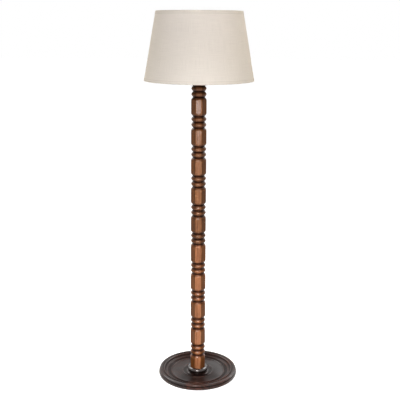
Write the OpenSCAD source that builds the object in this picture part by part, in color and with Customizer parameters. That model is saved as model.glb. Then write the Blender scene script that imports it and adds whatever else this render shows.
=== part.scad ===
// Candlestick floor lamp: a turned oak column of octagonal blocks and ring pairs on a dished
// round base, with a bayonet lampholder, a ring carrier and a tapered drum shade.
// Millimetres, +Z up. The origin is the centre of the base, on the floor.

/* [Base] */
// Diameter over the rim of the base
base_d = 352; // [320:1:400]
// Height of the rim's top above the floor
rim_h = 26; // [24:0.5:34]
// Height of the lowest part of the dished field above the floor
field_h = 10; // [9:0.5:13]
// Diameter of the bun in the middle, which carries the column
bun_d = 92; // [84:1:104]
// Height of the bun's flat top above the floor
bun_h = 34; // [31:0.5:42]
// Diameter of the small ring turned round the bun
collar_bead_d = 136; // [128:1:150]
// Diameter of the raised crest round the field
crest_d = 238; // [220:1:250]
// Radius of the small beads turned on the base
small_bead_r = 3; // [2:0.1:4]
// Thickness of the baize under the base
baize_t = 1.5; // [1:0.1:2.5]
// Diameter of the baize
baize_d = 322; // [290:1:328]

/* [Ballast] */
// Diameter of the iron plate let into the underside
ballast_d = 220; // [180:1:250]
// Thickness of the iron plate
ballast_t = 4; // [3:0.1:4.8]
// Diameter of the circle on which its screws lie
screw_pcd = 62; // [56:1:70]
// Number of screws that hold the iron plate
screw_count = 3; // [3:1:6]
// Shank diameter of a screw
screw_d = 4; // [3:0.1:5]
// Diameter of a screw's countersunk head
screw_head_d = 8; // [6.5:0.1:9]
// Length of a screw under the iron plate's face
screw_l = 16; // [12:0.5:19]

/* [Column] */
// Width of the octagonal blocks across their flats
column_w = 64.8; // [58:0.2:70]
// Diameter of the turned rings
ring_d = 64.6; // [56:0.2:64.8]
// Diameter in the grooves beside the rings
groove_d = 47; // [42:0.5:52]
// Distance between the two rings of a pair
ring_pitch = 23.5; // [20:0.1:27]
// Height of the turned shoulder at each end of a block
shoulder_h = 18; // [12:0.5:22]
// Length of the lowest block, which stands on the bun
foot_block = 61; // [50:0.5:80]
// Length of the other blocks of the lower section
lower_block = 82.1; // [70:0.1:95]
// Length of the block under the joint between the sections
joint_block = 89; // [75:0.5:100]
// Length of the blocks of the upper section
upper_block = 79.7; // [70:0.1:95]
// Number of ring pairs in the lower section
lower_pairs = 4; // [3:1:5]
// Number of ring pairs in the upper section
upper_pairs = 6; // [4:1:6]
// Height of the plain cap above the top ring
cap_h = 6.4; // [5:0.1:12]
// Diameter of the bore through the column
bore_d = 14; // [12:0.5:18]
// Diameter of the tenon under each section
tenon_d = 30; // [26:0.5:34]
// Length of the tenon between the two sections
tenon_l = 26; // [18:0.5:36]
// Length of the foot tenon, in the bun
foot_tenon_l = 15; // [12:0.5:16]

/* [Tie tube] */
// Outside diameter of the threaded tube that clamps the lamp together
tube_d = 10; // [9:0.1:11]
// Bore of the tube, for the flex
tube_bore = 7; // [5:0.1:7.6]
// Width of its nuts across the flats
nut_af = 14; // [13:0.5:17]
// Thickness of its nuts
nut_t = 3; // [2.5:0.1:4]
// Diameter of the washer in the base
washer_d = 30; // [26:0.5:32]
// Thickness of the washer in the base
washer_t = 2; // [1.5:0.1:2.5]
// Diameter of the brass plate on top of the column
plate_d = 44; // [36:0.5:56]
// Thickness of the brass plate
plate_t = 2; // [1.5:0.1:3]

/* [Cable way] */
// Height of the cable's way out of the rim above the floor
inlet_z = 6.2; // [5.9:0.1:7]
// Bore of the cable bush
inlet_bore = 4.8; // [4:0.1:5.2]
// Outside diameter of the bush's barrel
inlet_d = 6.4; // [6.2:0.1:7.2]
// Length of the bush's barrel
inlet_l = 16; // [10:0.5:20]
// Diameter of the bush's flange
inlet_flange_d = 8.6; // [8.2:0.1:9.2]
// Width of the cable channel under the base
channel_w = 7; // [6.4:0.1:9]

/* [Lampholder] */
// Diameter of the lampholder's body
holder_d = 35; // [34:0.5:40]
// Height of the lampholder's dome
dome_h = 16; // [15.2:0.2:20]
// Height of the lampholder from its foot to the seat of the shade carrier
seat_h = 35; // [34.4:0.2:38]
// Diameter of the threaded neck above the seat
neck_d = 28.4; // [27.6:0.1:30]
// Inside diameter of the neck, where the bulb's cap goes in
neck_bore = 23.2; // [22.8:0.1:24]
// Height of the threaded neck
neck_h = 21; // [19:0.2:24]
// Wall of the lampholder
holder_wall = 1.5; // [1.2:0.1:2]
// Height of the switch bar above the lampholder's foot
bar_z = 22; // [21:0.2:22.6]
// Diameter of the switch bar
bar_d = 5.2; // [4:0.1:5.6]
// Travel of the switch bar from off to on
bar_travel = 6; // [4:0.5:7]
// Length of bar that stays out of the lampholder when it is pushed in
bar_out = 5; // [3:0.5:8]
// Diameter of the two contact plungers
plunger_d = 4.8; // [4:0.1:5]
// Distance between the two contact plungers
plunger_gap = 11; // [10.4:0.1:12]
// Diameter of the knurled ring nut that clamps the shade carrier
ring_nut_d = 38; // [35:0.5:44]
// Height of the knurled ring nut
ring_nut_h = 5.4; // [4:0.1:5.8]
// Number of grips round the ring nut
grip_count = 20; // [12:1:28]

/* [Bulb] */
// Diameter of the bulb's glass
bulb_d = 60; // [50:0.5:66]
// Length of the bulb from its contacts to its crown
bulb_l = 106; // [98:0.5:114]
// Diameter of the bulb's cap
bulb_cap_d = 22; // [21.6:0.1:22.2]
// Length of the bulb's cap
bulb_cap_l = 24; // [22:0.5:27]
// Distance from the bulb's contacts to its bayonet pins
pin_h = 6.5; // [6.2:0.1:7]
// Diameter of the bayonet pins
pin_d = 2; // [1.6:0.1:2.2]
// Distance that the bulb is pushed down to free it
bulb_push = 2.5; // [1.5:0.1:2.6]

/* [Shade carrier] */
// Height of the carrier from its collar to its gallery ring
carrier_h = 199; // [170:1:240]
// Outside diameter of the carrier's collar
carrier_collar_d = 43; // [40:0.5:50]
// Thickness of the collar
carrier_collar_t = 2; // [1.5:0.1:2.5]
// Diameter of the carrier's wire arms
arm_d = 3.6; // [3:0.1:4.5]
// Number of wire arms on the carrier and on the shade
arm_count = 3; // [3:1:4]
// Diameter of the upstand on the gallery ring
gallery_d = 94; // [88:0.5:102]
// Width of the ledge outside the upstand
ledge_w = 7; // [5.5:0.1:9]
// Thickness of the gallery ring's sheet
gallery_t = 1.2; // [1:0.1:1.6]
// Height of the upstand above the ledge
upstand_h = 5; // [4:0.1:8]

/* [Shade] */
// Diameter of the shade at its bottom rim
shade_bottom_d = 457; // [400:1:520]
// Diameter of the shade at its top rim
shade_top_d = 356; // [300:1:400]
// Height of the shade
shade_h = 279; // [240:1:310]
// Depth of the shade's fitting ring below its top rim
fitting_drop = 48; // [36:1:70]
// Diameter of the shade's wires
shade_wire_d = 3.4; // [2.8:0.1:4]
// Thickness of the linen cover
cover_t = 0.9; // [0.6:0.05:1.2]
// Thickness of the stiff lining
lining_t = 0.5; // [0.3:0.05:0.9]
// Width of the folded tape at each rim, seen from outside
tape_w = 13; // [9:0.5:18]
// Width of the folded tape inside
tape_in_w = 8; // [6:0.5:12]
// Thickness of the folded tape
tape_t = 0.6; // [0.4:0.05:0.9]

/* [Hidden] */
$fn = 96;

// Clearances: a shaft that runs in its bore, a thread, a glued or dropped-in piece, and
// curved faces that rest on each other
run_fit = 0.08;
thread_fit = 0.1;
seat_fit = 0.2;
rest_gap = 0.3;
// How far a cutting tool runs past the face that it cuts
past = 1;
// How far pieces that are laid on each other are kept apart
cut = 0.01;

// Base: the rim's lower swell is widest at swell_z, and a thin line parts it from the round top.
// The rim's mouldings are drawn rim_drawn_w wide, from the edge to the crest, and follow the room
// that there is.
base_r = base_d / 2;
bun_r = bun_d / 2;
crest_r = crest_d / 2;
bead_ring_r = collar_bead_d / 2;
recess_top = baize_t + ballast_t;
web_t = 6;
foot_tenon_z = bun_h - foot_tenon_l;
mortise_z = foot_tenon_z - 1;
pocket_top = mortise_z - web_t;
pocket_r = washer_d / 2 + 3;
bun_waist_z = field_h + 1;
swell_z = baize_t + 7;
rim_line_z = rim_h - 8;
rim_drawn_w = 57;
rim_k = (base_r - crest_r) / rim_drawn_w;

// Column: the rings of a pair lie half a pitch from its middle groove, and the pair's outer
// grooves a whole pitch from it
column_z = bun_h;
pair_h = 2 * ring_pitch;
apothem = column_w / 2;
corner_r = apothem / cos(22.5);
groove_r = groove_d / 2;
ring_r = ring_d / 2;
first_pair_z = column_z + foot_block + ring_pitch;
lower_step = lower_block + pair_h;
joint_z = first_pair_z + (lower_pairs - 1) * lower_step + ring_pitch + joint_block;
upper_step = upper_block + pair_h;
last_pair_z = joint_z + ring_pitch + (upper_pairs - 1) * upper_step;
cap_z = last_pair_z + ring_pitch;
column_top = cap_z + cap_h;
cap_bevel = 0.8;
// Steps and sharpness of the turned curves
ring_steps = 10;
ring_power = 1.35;
shoulder_steps = 6;
shoulder_power = 1.3;

// Tie tube and what it clamps
tube_r = tube_d / 2;
washer_z = pocket_top - washer_t;
base_nut_z = washer_z - nut_t;
plate_z = column_top;
locknut_z = plate_z + plate_t;
holder_z = locknut_z + nut_t;
tube_in_dome = 5;
tube_bottom = base_nut_z - 1;

// Cable bush: its flange sits in a spot face in the rim
spot_depth = 1.2;
flange_t = 1.2;
bush_face_y = base_r - spot_depth;
bush_inner_y = bush_face_y - inlet_l;

// Lampholder: its dome has an entry boss below and a straight skirt above
holder_r = holder_d / 2;
entry_r = 8;
entry_h = 3;
dome_skirt = 3;
edge_bevel = 0.6;
core_z = holder_z + dome_h - 1;
seat_z = holder_z + seat_h;
neck_r = neck_d / 2;
neck_in_r = neck_bore / 2;
neck_top = seat_z + neck_h;
core_shoulder_z = seat_z - holder_wall - seat_fit;
core_r = holder_r - holder_wall - seat_fit;
core_neck_r = neck_in_r - seat_fit;
bar_axis_z = holder_z + bar_z;
bar_l = holder_d + 2 * bar_out + bar_travel;
plunger_r = plunger_d / 2;
ring_nut_z = seat_z + carrier_collar_t + 2 * rest_gap;
grip_r = 1.1;

// Bulb: its contacts stand on the plungers and its pins lie in the bayonet slots
bayonet_floor = ring_nut_z + ring_nut_h + 0.6;
pin_z = bayonet_floor + bulb_push + pin_d / 2 + rest_gap;
bulb_z = pin_z - pin_h;
contact_t = 0.8;
plunger_top = bulb_z - contact_t - rest_gap;
plunger_l = 8;
plunger_bevel = 0.8;
plunger_bottom = plunger_top - plunger_l;
core_top = plunger_top - bulb_push - plunger_bevel;
floor_t = 1.2;
spring_floor = bar_axis_z + bar_d / 2 + floor_t;
bayonet_turn = 25;
slot_room = 0.6;
slot_w = pin_d + slot_room;
bulb_r = bulb_d / 2;
glass_t = 0.8;
bulb_crown_z = bulb_z + bulb_l;
bulb_centre_z = bulb_crown_z - bulb_r;
glass_foot_z = bulb_z + bulb_cap_l;
cap_wall = 0.6;
cap_floor_z = bulb_z + 3;

// Shade carrier
collar_z = seat_z + rest_gap;
collar_top = collar_z + carrier_collar_t;
gallery_z = collar_top + carrier_h;
upstand_r = gallery_d / 2;
ledge_r = upstand_r + ledge_w;
arm_r = arm_d / 2;
arm_side = upstand_r + ledge_w / 2;

// Shade: the fitting ring rests on the gallery's ledge, and everything else hangs from it
wire_r = shade_wire_d / 2;
fitting_r = upstand_r + rest_gap + 0.4 + wire_r;
fitting_z = gallery_z + gallery_t + rest_gap + wire_r;
shade_top = fitting_z + fitting_drop;
shade_bottom = shade_top - shade_h;
skin_t = cover_t + lining_t;
skin_low = shade_bottom + tape_t + cut;
skin_high = shade_top - tape_t - cut;
tape_depth = 2 * tape_t + skin_t + shade_wire_d + 2 * seat_fit;
top_wire_z = shade_top - tape_t - seat_fit / 2 - wire_r;
bottom_wire_z = shade_bottom + tape_t + seat_fit / 2 + wire_r;
wire_inset = tape_t + skin_t + seat_fit + wire_r;

// Points on part of an ellipse, from one angle to another
function arc(c, a, b, from, to, steps) =
    [for (i = [0:steps]) let (t = from + (to - from) * i / steps) c + [a * cos(t), b * sin(t)]];

// A point on a cubic curve with four control points
function cubic(p, t) = p[0] * pow(1 - t, 3) + 3 * p[1] * t * pow(1 - t, 2)
    + 3 * p[2] * t * t * (1 - t) + p[3] * pow(t, 3);
function cubic_path(p, steps) = [for (i = [0:steps]) cubic(p, i / steps)];

// A curve that rises from 0 to 1 as s goes from the edge to the middle of a bead
function swell(s, power) = pow(1 - pow(abs(s), power), 1 / power);

// One turned ring, from the groove below it to the groove above it
function ring_outline(z) = [for (i = [0:ring_steps]) let (s = 2 * i / ring_steps - 1)
    [groove_r + (ring_r - groove_r) * swell(s, ring_power), z + s * ring_pitch / 2]];
function pair_outline(z) = concat(ring_outline(z - ring_pitch / 2), ring_outline(z + ring_pitch / 2));

// A block's turned shoulder, whose foot is in a groove and whose top clears the corners
function shoulder_outline(z, up) = [for (i = [0:shoulder_steps])
    let (s = up ? 1 - i / shoulder_steps : i / shoulder_steps)
    [groove_r + (corner_r + 1 - groove_r) * swell(s, shoulder_power),
     up ? z + (1 - s) * shoulder_h : z - (1 - s) * shoulder_h]];
function block_outline(z, length) =
    concat(shoulder_outline(z, true), shoulder_outline(z + length, false));

function lower_outline() = concat(
    [[0, foot_tenon_z], [tenon_d / 2, foot_tenon_z], [tenon_d / 2, column_z],
     [corner_r + 1, column_z]],
    shoulder_outline(column_z + foot_block, false),
    [for (i = [0:lower_pairs - 1]) let (z = first_pair_z + i * lower_step)
        each concat(pair_outline(z),
                    block_outline(z + ring_pitch, i < lower_pairs - 1 ? lower_block : joint_block))],
    [[0, joint_z]]);

function upper_outline() = concat(
    [[0, joint_z - tenon_l], [tenon_d / 2, joint_z - tenon_l], [tenon_d / 2, joint_z]],
    [for (i = [0:upper_pairs - 1]) let (z = joint_z + ring_pitch + i * upper_step)
        each concat(pair_outline(z),
                    i < upper_pairs - 1 ? block_outline(z + ring_pitch, upper_block) : [])],
    [[ring_r - 2.5, cap_z + 1], [ring_r, cap_z + 2.5], [ring_r, column_top - cap_bevel],
     [ring_r - cap_bevel, column_top], [0, column_top]]);

// A stretch of the rim's mouldings, at a drawn distance in from the base's edge
function rim_arc(inward, z, a, b, from, to, steps) =
    arc([base_r - inward * rim_k, z], a * rim_k, b, from, to, steps);

// The rim's outside: the lower swell, the thin line above it and the round top, to its inner edge
function rim_outside() = concat(
    rim_arc(8, swell_z, 8, swell_z - baize_t, -90, 0, 5),
    rim_arc(8, swell_z, 8, 2 * (rim_line_z - 1.5 - swell_z), 12, 30, 2),
    [[base_r - 5 * rim_k, rim_line_z - 0.6], [base_r - 5 * rim_k, rim_line_z + 0.8]],
    rim_arc(8, rim_h - 5, 5, 5, -30, 90, 6),
    rim_arc(15, rim_h - 2, 2, 2, 90, 180, 3));

// The rim's inside: a bead, the hollow down to the field, the bead at its foot and a shallow groove
function rim_inside() = concat(
    rim_arc(24, rim_h - 4, small_bead_r + 0.5, small_bead_r + 0.5, 10, 180, 7),
    rim_arc(36, rim_h - 4, 8.5, rim_h - field_h - 9.5, 0, -80, 5),
    rim_arc(39, field_h + 2.5, small_bead_r, small_bead_r, 60, 170, 4),
    rim_arc(48, field_h + 1.2, 3.5, 1.2, 0, -180, 4));

// The crest's bead, the dished field and the collar's bead
function field_outline() =
    let (middle = (crest_r + bead_ring_r) / 2, half = (crest_r - bead_ring_r) / 2 - 6, dish = 1.6)
    concat(
        arc([crest_r, field_h + 0.6], small_bead_r, small_bead_r, 10, 170, 6),
        [[crest_r - small_bead_r - 0.2, field_h + dish]],
        arc([middle, field_h + dish], half, dish, -10, -170, 6),
        [[bead_ring_r + small_bead_r + 0.4, field_h + 1.2]],
        arc([bead_ring_r, field_h + 0.4], small_bead_r, small_bead_r, 15, 165, 6));

// The groove round the bun, and the bun from its waist to its flat top
function bun_outline() =
    let (groove_mid = (bead_ring_r + bun_r) / 2 - 1, groove_half = (bead_ring_r - bun_r) / 2 - 3,
         middle_z = (bun_h + bun_waist_z) / 2 - 0.5, half_h = (bun_h - bun_waist_z) / 2 - 0.7,
         round_w = 7)
    concat(
        arc([groove_mid, bun_waist_z], groove_half, 1, 0, -180, 4),
        arc([bun_r - round_w, middle_z], round_w, half_h, -80, 78, 9),
        [[bun_r - round_w - 1, bun_h]]);

// The base in section, from the middle of its underside round the rim to the bun's top
function base_outline() = concat([[0, baize_t]], rim_outside(), rim_inside(), field_outline(),
                                 bun_outline(), [[0, bun_h]]);

// Radius of the shade's outside at a height, less a depth into its wall
function shade_r(z, depth = 0) = shade_bottom_d / 2
    - (shade_bottom_d - shade_top_d) / 2 * (z - shade_bottom) / shade_h - depth;

// A round wire along a path of [radius, height] points, as one closed tube
module wire(path, r, sides = 10) {
    last = len(path) - 1;
    tangents = [for (i = [0:last])
        let (d = path[min(i + 1, last)] - path[max(i - 1, 0)]) d / norm(d)];
    points = [for (i = [0:last], j = [0:sides - 1])
        let (a = 360 * j / sides, t = tangents[i])
        [path[i][0] - r * cos(a) * t[1], r * sin(a), path[i][1] + r * cos(a) * t[0]]];
    walls = [for (i = [0:last - 1], j = [0:sides - 1])
        let (k = (j + 1) % sides, p = i * sides, q = p + sides)
        each [[p + j, q + j, q + k], [p + j, q + k, p + k]]];
    ends = [[for (j = [0:sides - 1]) j], [for (j = [sides - 1:-1:0]) last * sides + j]];
    polyhedron(points, concat(walls, ends));
}

module ring_of(count) {
    for (i = [0:count - 1]) rotate([0, 0, 90 + 360 * i / count]) children();
}

module tube_part(z, r, h, bore_r) {
    translate([0, 0, z]) difference() {
        cylinder(h = h, r = r);
        translate([0, 0, -past]) cylinder(h = h + 2 * past, r = bore_r);
    }
}

module hex_nut(z) {
    translate([0, 0, z]) difference() {
        cylinder(h = nut_t, d = nut_af / cos(30), $fn = 6);
        translate([0, 0, -past]) cylinder(h = nut_t + 2 * past, r = tube_r + thread_fit);
    }
}

// The octagonal prism that the turned blocks are cut from, with a flat to the front
module octagon(z, h) {
    translate([0, 0, z]) rotate([0, 0, 22.5]) cylinder(h = h, r = corner_r, $fn = 8);
}

// A ring of the given section round the shade, between two heights and two depths in its wall
module shade_band(low, high, outside, inside) {
    rotate_extrude() polygon([
        [shade_r(low, outside), low], [shade_r(high, outside), high],
        [shade_r(high, inside), high], [shade_r(low, inside), low]]);
}

// Folded tape round a rim: up the outside, over the wire and down inside
module folded_tape(edge, way) {
    round = tape_t;
    outer = edge - way * tape_w;
    inner = edge - way * tape_in_w;
    under = edge - way * tape_t;
    rotate_extrude() polygon([
        [shade_r(outer), outer],
        [shade_r(edge - way * round), edge - way * round],
        [shade_r(edge, round), edge],
        [shade_r(edge, tape_depth - round), edge],
        [shade_r(edge - way * round, tape_depth), edge - way * round],
        [shade_r(inner, tape_depth), inner],
        [shade_r(inner, tape_depth - tape_t), inner],
        [shade_r(under, tape_depth - tape_t), under],
        [shade_r(under, tape_t), under],
        [shade_r(outer, tape_t), outer]]);
}

module rim_wire(z) {
    rotate_extrude() translate([shade_r(z, wire_inset), z]) circle(r = wire_r, $fn = 24);
}

module base_disc() {
    channel_top = inlet_z + inlet_bore / 2 - cut;
    color("#3a2118") difference() {
        rotate_extrude() polygon(base_outline());
        translate([0, 0, mortise_z]) cylinder(h = bun_h, d = tenon_d + 2 * seat_fit);
        translate([0, 0, -past]) cylinder(h = bun_h, d = bore_d);
        translate([0, 0, -past]) cylinder(h = pocket_top + past, r = pocket_r);
        translate([0, 0, -past]) cylinder(h = recess_top + past, r = ballast_d / 2 + seat_fit);
        translate([-channel_w / 2, 0, -past]) cube([channel_w, bush_inner_y, channel_top + past]);
        translate([0, bush_inner_y - past, inlet_z]) rotate([-90, 0, 0])
            cylinder(h = inlet_l + 2 * past, d = inlet_d + 2 * thread_fit);
        translate([0, bush_face_y, inlet_z]) rotate([-90, 0, 0])
            cylinder(h = spot_depth + past, d = inlet_flange_d + 2 * seat_fit);
        ring_of(screw_count) translate([screw_pcd / 2, 0, recess_top - past])
            cylinder(h = screw_l + 2 * past, d = screw_d + 2 * thread_fit);
    }
}

module ballast_plate() {
    gap_w = channel_w + 4;
    head_h = (screw_head_d - screw_d) / 2;
    hole_d = screw_d + 2 * thread_fit;
    color("#3b3d40") difference() {
        translate([0, 0, baize_t]) cylinder(h = ballast_t, d = ballast_d);
        translate([0, 0, -past]) cylinder(h = recess_top + 2 * past, r = pocket_r);
        translate([-gap_w / 2, 0, -past]) cube([gap_w, ballast_d, recess_top + 2 * past]);
        ring_of(screw_count) translate([screw_pcd / 2, 0, baize_t]) {
            cylinder(h = head_h + seat_fit, d1 = screw_head_d + 2 * seat_fit, d2 = hole_d);
            cylinder(h = ballast_t + past, d = hole_d);
        }
    }
}

module ballast_screws() {
    head_h = (screw_head_d - screw_d) / 2;
    tip_h = ballast_t + screw_l;
    tip_l = 3;
    tip_r = 0.6;
    color("#8c8f92") ring_of(screw_count) translate([screw_pcd / 2, 0, baize_t]) rotate_extrude()
        polygon([[0, 0], [screw_head_d / 2, 0], [screw_d / 2, head_h], [screw_d / 2, tip_h - tip_l],
                 [tip_r, tip_h], [0, tip_h]]);
}

module base_baize() {
    color("#2c4a34") cylinder(h = baize_t, d = baize_d);
}

module cable_bush() {
    color("#1d1b19") translate([0, bush_inner_y, inlet_z]) rotate([-90, 0, 0]) difference() {
        union() {
            cylinder(h = inlet_l, d = inlet_d);
            translate([0, 0, inlet_l]) cylinder(h = flange_t, d = inlet_flange_d);
        }
        translate([0, 0, -past]) cylinder(h = inlet_l + flange_t + 2 * past, d = inlet_bore);
    }
}

module column_lower() {
    color("#7a4a2b") difference() {
        intersection() {
            rotate_extrude() polygon(lower_outline());
            octagon(0, joint_z + past);
        }
        cylinder(h = joint_z + past, d = bore_d);
        translate([0, 0, joint_z - tenon_l - past])
            cylinder(h = tenon_l + 2 * past, d = tenon_d + 2 * seat_fit);
    }
}

module column_upper() {
    color("#6f432a") difference() {
        intersection() {
            rotate_extrude() polygon(upper_outline());
            octagon(joint_z - tenon_l - past, column_top);
        }
        translate([0, 0, joint_z - tenon_l - past]) cylinder(h = column_top, d = bore_d);
    }
}

module tie_tube() {
    color("#b9a46c")
        tube_part(tube_bottom, tube_r, holder_z + tube_in_dome - tube_bottom, tube_bore / 2);
}

module base_washer() {
    color("#8c8f92") tube_part(washer_z, washer_d / 2, washer_t, tube_r + thread_fit);
}

module base_nut() {
    color("#8c8f92") hex_nut(base_nut_z);
}

module top_plate() {
    color("#b08d4a") tube_part(plate_z, plate_d / 2, plate_t, tube_r + thread_fit);
}

module top_locknut() {
    color("#b08d4a") hex_nut(locknut_z);
}

// The lampholder's lower shell: an entry boss and a dome
module holder_dome() {
    rise = dome_h - entry_h - dome_skirt;
    out_r = holder_r - entry_r;
    color("#b08d4a") rotate_extrude() translate([0, holder_z]) polygon(concat(
        [[tube_r + thread_fit, 0]],
        [[entry_r, 0]],
        arc([entry_r, entry_h + rise], out_r, rise, -90, 0, 6),
        [[holder_r, dome_h], [holder_r - holder_wall, dome_h]],
        arc([entry_r, entry_h + rise], out_r - holder_wall, rise - holder_wall, 0, -90, 6),
        [[tube_r + thread_fit, entry_h + holder_wall]]));
}

// The lampholder's upper shell: a body with the seat for the carrier and a slotted neck
module holder_body() {
    foot = holder_z + dome_h;
    cut_l = neck_r - neck_in_r + 2 * past;
    color("#b08d4a") difference() {
        rotate_extrude() polygon([
            [holder_r - holder_wall, foot], [holder_r, foot], [holder_r, seat_z], [neck_r, seat_z],
            [neck_r, neck_top - edge_bevel], [neck_r - edge_bevel, neck_top], [neck_in_r, neck_top],
            [neck_in_r, seat_z - holder_wall], [holder_r - holder_wall, seat_z - holder_wall]]);
        translate([-holder_d, 0, bar_axis_z]) rotate([0, 90, 0])
            cylinder(h = 2 * holder_d, d = bar_d + 2 * run_fit);
        for (side = [0, 180]) rotate([0, 0, 90 + side]) {
            bayonet_slot(bayonet_floor, pin_z + pin_d / 2 + seat_fit - bayonet_floor);
            rotate([0, 0, bayonet_turn]) bayonet_slot(bayonet_floor, neck_top + past - bayonet_floor);
            translate([0, 0, bayonet_floor]) rotate_extrude(angle = bayonet_turn)
                translate([neck_in_r - past, 0]) square([cut_l, slot_w + 0.4]);
        }
    }
}

module bayonet_slot(z, h) {
    translate([neck_in_r - past, -slot_w / 2, z]) cube([neck_r - neck_in_r + 2 * past, slot_w, h]);
}

// The insulator, bored for the plungers and the switch bar
module holder_core() {
    color("#e9e4d8") difference() {
        rotate_extrude() polygon([
            [0, core_z], [core_r, core_z], [core_r, core_shoulder_z], [core_neck_r, core_shoulder_z],
            [core_neck_r, core_top], [0, core_top]]);
        translate([-holder_d, 0, bar_axis_z]) rotate([0, 90, 0])
            cylinder(h = 2 * holder_d, d = bar_d + 2 * run_fit);
        for (side = [-1, 1]) translate([side * plunger_gap / 2, 0, spring_floor])
            cylinder(h = core_top, r = plunger_r + run_fit);
    }
}

// Two clamp blocks for the flex, each with its screw
module holder_terminals() {
    size = 6;
    drop = 6.5;
    offset_y = 6.5;
    head_d = 3.4;
    head_t = 1.6;
    color("#c9a95a") for (side = [-1, 1]) translate([0, side * offset_y, core_z - drop]) {
        translate([-size / 2, -size / 2, 0]) cube([size, size, drop]);
        translate([size / 2, 0, drop / 2]) rotate([0, 90, 0]) cylinder(h = head_t, d = head_d);
    }
}

module contact_plungers() {
    color("#c9a95a") for (side = [-1, 1]) translate([side * plunger_gap / 2, 0, plunger_bottom])
        rotate_extrude() polygon([[0, 0], [plunger_r, 0], [plunger_r, plunger_l - plunger_bevel],
                                  [plunger_r - plunger_bevel, plunger_l], [0, plunger_l]]);
}

// Two coil springs under the plungers
module plunger_springs() {
    coil_wire_r = 0.3;
    coil_r = plunger_r - coil_wire_r - seat_fit;
    turns = 5;
    turn_steps = 10;
    sides = 6;
    end_gap = 0.1;
    low = spring_floor + coil_wire_r + end_gap;
    high = plunger_bottom - coil_wire_r - end_gap;
    steps = turns * turn_steps;
    pitch_angle = atan((high - low) / turns / (2 * PI * coil_r));
    points = [for (i = [0:steps], j = [0:sides - 1])
        let (a = 360 * i / turn_steps, b = 360 * j / sides,
             out = [cos(a), sin(a), 0],
             up = [sin(a) * sin(pitch_angle), -cos(a) * sin(pitch_angle), cos(pitch_angle)])
        out * coil_r + [0, 0, low + (high - low) * i / steps]
            + coil_wire_r * (cos(b) * out + sin(b) * up)];
    walls = [for (i = [0:steps - 1], j = [0:sides - 1])
        let (k = (j + 1) % sides, p = i * sides, q = p + sides)
        each [[p + j, q + k, q + j], [p + j, p + k, q + k]]];
    ends = [[for (j = [sides - 1:-1:0]) j], [for (j = [0:sides - 1]) steps * sides + j]];
    color("#9fa3a6") for (side = [-1, 1]) translate([side * plunger_gap / 2, 0, 0])
        polyhedron(points, concat(walls, ends));
}

// The push bar of the switch, shown pushed to its off side
module switch_bar() {
    round = 1;
    color("#2a2522") translate([-bar_l / 2 - bar_travel / 2, 0, bar_axis_z]) rotate([0, 90, 0])
        rotate_extrude() polygon(concat(
            [[0, 0]], arc([bar_d / 2 - round, round], round, round, -90, 0, 3),
            arc([bar_d / 2 - round, bar_l - round], round, round, 0, 90, 3), [[0, bar_l]]));
}

module holder_ring_nut() {
    out_r = ring_nut_d / 2;
    in_r = neck_r + run_fit;
    color("#b08d4a") translate([0, 0, ring_nut_z]) difference() {
        rotate_extrude() polygon([
            [in_r, 0], [out_r - edge_bevel, 0], [out_r, edge_bevel], [out_r, ring_nut_h - edge_bevel],
            [out_r - edge_bevel, ring_nut_h], [in_r, ring_nut_h]]);
        ring_of(grip_count) translate([out_r + grip_r * 0.4, 0, -past])
            cylinder(h = ring_nut_h + 2 * past, r = grip_r, $fn = 24);
    }
}

module carrier_collar() {
    color("#b08d4a")
        tube_part(collar_z, carrier_collar_d / 2, carrier_collar_t, neck_r + run_fit);
}

module carrier_arms() {
    foot = collar_z + carrier_collar_t / 2;
    start = carrier_collar_d / 2;
    rise = gallery_z - foot;
    bulge = 6;
    path = cubic_path([[start, foot], [arm_side + bulge, foot], [arm_side, foot + 0.4 * rise],
                       [arm_side, gallery_z]], 14);
    color("#b08d4a") ring_of(arm_count) wire(path, arm_r);
}

// A ledge for the shade's ring, with an upstand inside it
module carrier_gallery() {
    color("#b08d4a") rotate_extrude() polygon([
        [upstand_r - gallery_t, gallery_z], [ledge_r, gallery_z], [ledge_r, gallery_z + gallery_t],
        [upstand_r, gallery_z + gallery_t], [upstand_r, gallery_z + gallery_t + upstand_h],
        [upstand_r - gallery_t, gallery_z + gallery_t + upstand_h]]);
}

module shade_fitting_ring() {
    color("#d8d4ca") rotate_extrude() translate([fitting_r, fitting_z]) circle(r = wire_r, $fn = 24);
}

module shade_arms() {
    top = top_wire_z - wire_r;
    middle = (fitting_z + top) / 2;
    path = cubic_path([[fitting_r + wire_r, fitting_z], [shade_r(fitting_z, wire_inset), fitting_z],
                       [shade_r(middle, wire_inset), middle], [shade_r(top, wire_inset), top]], 14);
    color("#d8d4ca") ring_of(arm_count) rotate([0, 0, 180 / arm_count]) wire(path, wire_r);
}

module shade_top_wire() {
    color("#d8d4ca") rim_wire(top_wire_z);
}

module shade_bottom_wire() {
    color("#d8d4ca") rim_wire(bottom_wire_z);
}

module shade_lining() {
    color("#f4efe2") shade_band(skin_low, skin_high, tape_t + cover_t, tape_t + skin_t);
}

module shade_cover() {
    color("#e4dacb") shade_band(skin_low, skin_high, tape_t + cut, tape_t + cover_t - cut);
}

module shade_top_tape() {
    color("#ded3c2") folded_tape(shade_top, 1);
}

module shade_bottom_tape() {
    color("#ded3c2") folded_tape(shade_bottom, -1);
}

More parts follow.
